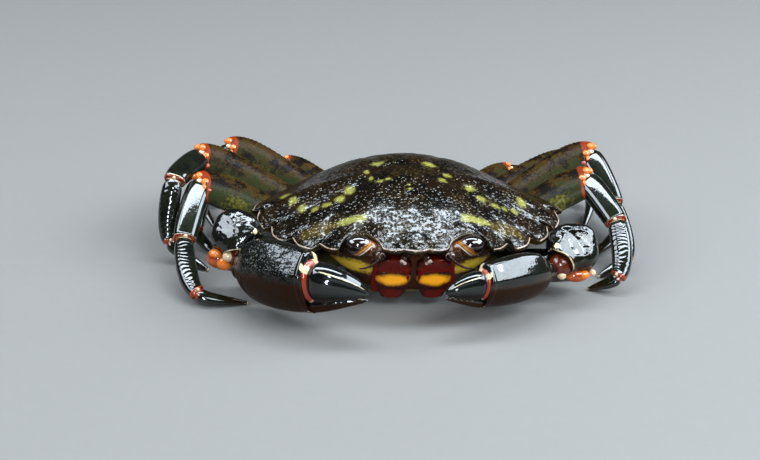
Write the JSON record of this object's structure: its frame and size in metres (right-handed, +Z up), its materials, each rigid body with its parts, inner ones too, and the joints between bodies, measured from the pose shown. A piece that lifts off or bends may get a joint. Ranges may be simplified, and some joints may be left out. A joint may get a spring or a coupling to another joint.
{
  "type": "shore crab",
  "caption": "Still life-size shore crab, crouched flat on its belly, claws folded before its mouth and walking legs drawn up beside the broad toothed shell.",
  "frame": {"origin": "on the floor, under the middle of the belly, where the folded tail flap lies flat", "axes": "+X towards the crab's left side, along the width over claws and legs; -Y is the way it faces; +Z up"},
  "size_m": [0.1095, 0.0735, 0.0248],
  "materials": {
    "shell": "wet, finely granular, very dark green with yellow-green spots",
    "belly": "wet, smooth, pale yellow-green",
    "leg": "wet, olive and brown mottled, orange-red bands at the joints",
    "claw": "wet, smooth, dark green to brown-black",
    "finger": "wet, smooth, near black",
    "mouth": "wet, dark red-brown with orange-yellow patches",
    "stalk": "wet, orange-yellow",
    "eye": "wet, glossy black",
    "feeler": "wet, brown with pale rings"
  },
  "bodies": {
    "root": {"carapace": "shell", "thorax": "belly", "tail_flap": "belly", "eye_right": "eye", "eye_left": "eye", "eyestalk_right": "stalk", "eyestalk_left": "stalk", "maxilliped_right": "mouth", "maxilliped_left": "mouth", "antenna_right": "feeler", "antenna_left": "feeler", "antennule_right": "feeler", "antennule_left": "feeler", "claw_right_arm": "claw", "claw_right_carpus": "claw", "claw_right_palm": "claw", "claw_right_finger": "finger", "claw_left_arm": "claw", "claw_left_carpus": "claw", "claw_left_palm": "claw", "claw_left_finger": "finger", "leg2_right_merus": "leg", "leg2_right_carpus": "leg", "leg2_right_propodus": "leg", "leg2_right_dactyl": "leg", "leg3_right_merus": "leg", "leg3_right_carpus": "leg", "leg3_right_propodus": "leg", "leg3_right_dactyl": "leg", "leg4_right_merus": "leg", "leg4_right_carpus": "leg", "leg4_right_propodus": "leg", "leg4_right_dactyl": "leg", "leg5_right_merus": "leg", "leg5_right_carpus": "leg", "leg5_right_propodus": "leg", "leg5_right_dactyl": "leg", "leg2_left_merus": "leg", "leg2_left_carpus": "leg", "leg2_left_propodus": "leg", "leg2_left_dactyl": "leg", "leg3_left_merus": "leg", "leg3_left_carpus": "leg", "leg3_left_propodus": "leg", "leg3_left_dactyl": "leg", "leg4_left_merus": "leg", "leg4_left_carpus": "leg", "leg4_left_propodus": "leg", "leg4_left_dactyl": "leg", "leg5_left_merus": "leg", "leg5_left_carpus": "leg", "leg5_left_propodus": "leg", "leg5_left_dactyl": "leg"}
  },
  "joints": []
}
